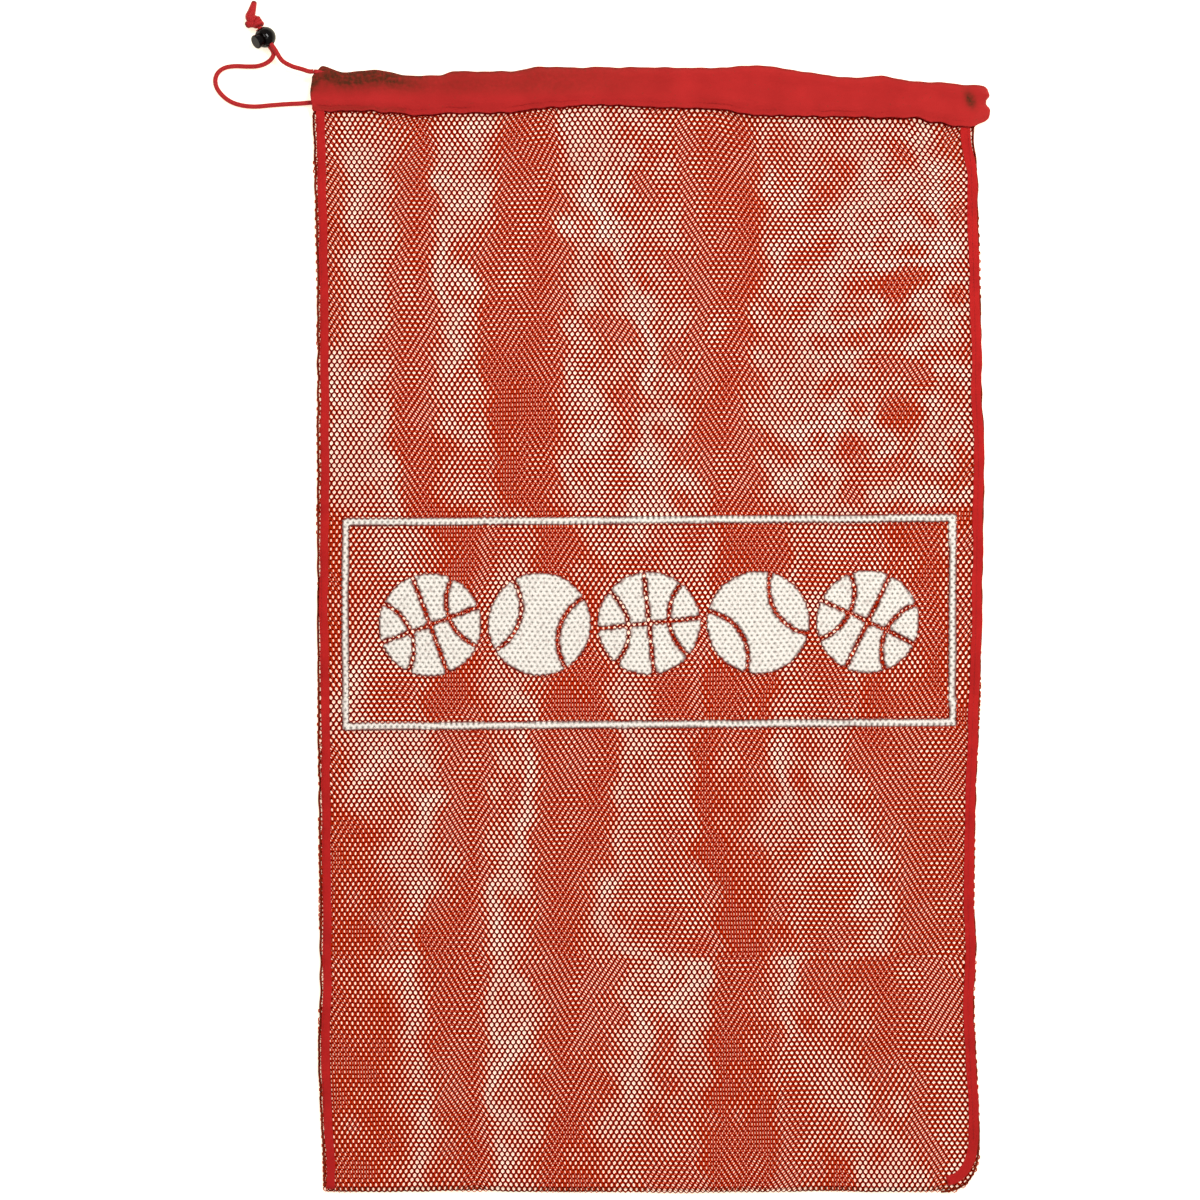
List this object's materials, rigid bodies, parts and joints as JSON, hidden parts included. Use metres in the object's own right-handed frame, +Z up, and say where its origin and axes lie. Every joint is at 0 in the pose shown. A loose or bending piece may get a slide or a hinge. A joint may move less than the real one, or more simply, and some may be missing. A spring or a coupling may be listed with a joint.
{
  "type": "mesh ball bag",
  "caption": "Red mesh ball bag lying flat, with a woven drawcord hem, taped side seams, a braided drawcord and a black ball cord lock",
  "frame": {"origin": "on the surface the bag lies on, under the middle of the bag without its free cord", "axes": "+Z up, +Y towards the mouth, +X to the right seen from above with the mouth at the top"},
  "size_m": [0.7003, 1.0806, 0.0209],
  "materials": {
    "mesh_cloth": "warp-knit polyester mesh, slightly glossy yarn",
    "hem_fabric": "plain woven polyester, matte",
    "seam_tape": "woven binding tape, matte",
    "thread": "twisted polyester sewing thread",
    "cord": "braided polyester cord, melted dark tips",
    "lock_plastic": "gloss black moulded plastic",
    "spring_steel": "bright spring wire"
  },
  "bodies": {
    "bag": {"mesh_front_panel": "mesh_cloth", "mesh_back_panel": "mesh_cloth", "mesh_bottom_fold": "mesh_cloth", "hem_band_front": "hem_fabric", "hem_band_back": "hem_fabric", "hem_right_turn": "hem_fabric", "left_seam_tape": "seam_tape", "right_seam_tape": "seam_tape", "hem_stitching_front": "thread", "hem_stitching_back": "thread", "left_seam_stitching": "thread", "right_seam_stitching": "thread", "drawcord_in_casing": "cord", "drawcord_upper_strand": "cord", "drawcord_lower_strand": "cord", "cord_knot": "cord", "cord_tail_long": "cord", "cord_tail_short": "cord"},
    "lock": {"lock_body": "lock_plastic", "lock_spring": "spring_steel"},
    "plunger": {"lock_plunger": "lock_plastic"}
  },
  "joints": [
    {"name": "lock_slide", "type": "slide", "parent": "bag", "child": "lock", "axis": [0.5707, -0.8211, 0], "range_m": [0, 0.004]},
    {"name": "plunger_press", "type": "slide", "parent": "lock", "child": "plunger", "axis": [0.6964, 0.484, -0.5299], "range_m": [0, 0.003], "stiffness_N_per_m": 900, "springref_m": -0.004, "deforming": ["lock_spring"]}
  ]
}
